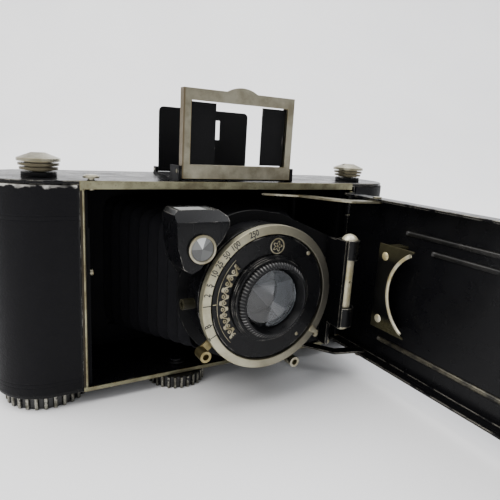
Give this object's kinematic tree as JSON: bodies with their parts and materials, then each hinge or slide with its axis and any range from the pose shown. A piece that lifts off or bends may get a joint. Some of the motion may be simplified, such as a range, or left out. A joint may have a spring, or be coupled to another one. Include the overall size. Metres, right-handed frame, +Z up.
{
  "type": "folding roll-film camera",
  "caption": "Folding roll-film camera lying landscape, bed open at the side, shutter with speed ring, folding frame finder, swivelling reflecting finder, hinged back.",
  "frame": {"origin": "centre of the tripod socket's mouth in the base plate, under the lens axis", "axes": "+X along the body away from the winding wheel, +Y towards the back cover, +Z up to the finder"},
  "size_m": [0.1746, 0.1586, 0.1157],
  "materials": {
    "black_enamel": "satin",
    "nickel": "worn",
    "brass": "worn",
    "leather": "grained",
    "bellows_cloth": "matte",
    "glass": "polished",
    "red_window": "polished",
    "spool_black": "matte"
  },
  "bodies": {
    "case": {"top_plate": "black_enamel", "bottom_plate": "black_enamel", "end_shell_left": "black_enamel", "end_shell_right": "black_enamel", "hinge_pins": "nickel", "film_gate": "black_enamel", "film_guides": "nickel", "front_trim": "nickel", "leather_left": "leather", "leather_right": "leather", "tripod_bush": "brass", "base_foot": "black_enamel", "knob_collars": "black_enamel", "catch_stud": "nickel", "finder_base": "black_enamel", "bellows": "bellows_cloth"},
    "bed": {"bed_panel": "black_enamel", "bed_leather": "leather", "standard_rest": "nickel", "rest_rivets": "nickel"},
    "struts": {"upper_strut": "nickel", "lower_strut": "nickel", "strut_rivets": "nickel"},
    "standard": {"lens_board": "black_enamel", "foot_bracket": "black_enamel", "foot_tube": "nickel"},
    "shutter": {"shutter_housing": "black_enamel", "face_plate": "black_enamel", "lens_mount": "black_enamel", "lens_bezel": "black_enamel", "front_glass": "glass", "rear_cell": "black_enamel", "rear_glass": "glass", "shutter_blades": "black_enamel", "iris_blades": "black_enamel", "cable_socket": "brass"},
    "speed_dial": {"speed_ring": "nickel"},
    "release": {"release_lever": "brass"},
    "cocking": {"cocking_lever": "nickel"},
    "aperture": {"aperture_lever": "nickel"},
    "brilliant": {"brilliant_housing": "black_enamel", "brilliant_bezel": "nickel", "brilliant_glass": "glass"},
    "front_sight": {"finder_frame": "nickel"},
    "flap_left": {"mask_flap_left": "black_enamel"},
    "flap_right": {"mask_flap_right": "black_enamel"},
    "rear_sight": {"rear_sight": "black_enamel"},
    "knob_left": {"takeup_knob": "nickel"},
    "knob_right": {"supply_knob": "nickel"},
    "winder": {"winding_wheel": "nickel", "takeup_spool": "spool_black"},
    "focuser": {"focusing_wheel": "nickel"},
    "button": {"release_button": "nickel"},
    "back": {"back_cover": "black_enamel", "back_leather": "leather", "red_windows": "red_window", "pressure_plate": "black_enamel", "pressure_springs": "nickel"},
    "window_shutter": {"window_slide": "black_enamel"},
    "latch": {"back_latch": "black_enamel"}
  },
  "joints": [
    {"name": "bed_hinge", "type": "hinge", "parent": "case", "child": "bed", "pos_m": [0.058, -0.022, 0.038], "axis": [0, 0, -1], "range_deg": [0, 90]},
    {"name": "strut_fold", "type": "hinge", "parent": "bed", "child": "struts", "pos_m": [0.0538, -0.043, 0.038], "axis": [0, 0, 1], "range_deg": [0, 103]},
    {"name": "standard_slide", "type": "slide", "parent": "case", "child": "standard", "axis": [0, 1, 0], "range_m": [0, 0.0372], "deforming": ["bellows"]},
    {"name": "focus_slide", "type": "slide", "parent": "standard", "child": "shutter", "axis": [0, 1, 0], "range_m": [-0.0035, 0]},
    {"name": "focusing_turn", "type": "hinge", "parent": "case", "child": "focuser", "pos_m": [-0.0204, -0.0144, 0], "axis": [0, 0, 1], "range_deg": [-270.01, 0]},
    {"name": "speed_ring_turn", "type": "hinge", "parent": "shutter", "child": "speed_dial", "pos_m": [0, -0.05, 0.0382], "axis": [0, -1, 0], "range_deg": [-27, 70]},
    {"name": "release_swing", "type": "hinge", "parent": "shutter", "child": "release", "pos_m": [0, -0.046, 0.0382], "axis": [0, -1, 0], "range_deg": [0, 12], "stiffness_Nm_per_rad": 0.05, "springref_deg": -5.73},
    {"name": "cocking_swing", "type": "hinge", "parent": "shutter", "child": "cocking", "pos_m": [0, -0.047, 0.0382], "axis": [0, -1, 0], "range_deg": [-50, 0]},
    {"name": "aperture_swing", "type": "hinge", "parent": "shutter", "child": "aperture", "pos_m": [0, -0.0475, 0.0382], "axis": [0, -1, 0], "range_deg": [0, 56]},
    {"name": "brilliant_swivel", "type": "hinge", "parent": "standard", "child": "brilliant", "pos_m": [-0.0295, -0.042, 0.053], "axis": [0, -1, 0], "range_deg": [0, 90]},
    {"name": "frame_fold", "type": "hinge", "parent": "case", "child": "front_sight", "pos_m": [0.002, -0.01775, 0.0796], "axis": [-1, 0, 0], "range_deg": [0, 90]},
    {"name": "left_flap_swing", "type": "hinge", "parent": "front_sight", "child": "flap_left", "pos_m": [-0.01835, -0.0175, 0.09], "axis": [0, 0, -1], "range_deg": [0, 90]},
    {"name": "right_flap_swing", "type": "hinge", "parent": "front_sight", "child": "flap_right", "pos_m": [0.02235, -0.0175, 0.09], "axis": [0, 0, 1], "range_deg": [0, 90]},
    {"name": "rear_sight_fold", "type": "hinge", "parent": "case", "child": "rear_sight", "pos_m": [0.002, 0.0151, 0.0778], "axis": [1, 0, 0], "range_deg": [0, 90]},
    {"name": "takeup_knob_pull", "type": "slide", "parent": "case", "child": "knob_left", "axis": [0, 0, 1], "range_m": [0, 0.006], "stiffness_N_per_m": 150, "springref_m": -0.003},
    {"name": "supply_knob_pull", "type": "slide", "parent": "case", "child": "knob_right", "axis": [0, 0, 1], "range_m": [0, 0.006], "stiffness_N_per_m": 150, "springref_m": -0.003},
    {"name": "winding_turn", "type": "hinge", "parent": "case", "child": "winder", "pos_m": [-0.0688, -0.0065, 0], "axis": [0, 0, 1], "continuous": true},
    {"name": "button_press", "type": "slide", "parent": "case", "child": "button", "axis": [0, 0, 1], "range_m": [-0.0006, 0], "stiffness_N_per_m": 500, "springref_m": 0.001},
    {"name": "back_hinge", "type": "hinge", "parent": "case", "child": "back", "pos_m": [-0.0832, 0.0174, 0.038], "axis": [0, 0, 1], "range_deg": [0, 120]},
    {"name": "window_slide_pull", "type": "slide", "parent": "back", "child": "window_shutter", "axis": [1, 0, 0], "range_m": [0, 0.011]},
    {"name": "latch_lift", "type": "slide", "parent": "case", "child": "latch", "axis": [0, 0, 1], "range_m": [0, 0.003]}
  ],
  "couplings": [
    {"joint": "strut_fold", "follows": "bed_hinge", "ratio": 1.1444},
    {"joint": "standard_slide", "follows": "bed_hinge", "m_per_rad": 0.023682},
    {"joint": "focusing_turn", "follows": "focus_slide", "rad_per_m": 1346.4}
  ]
}
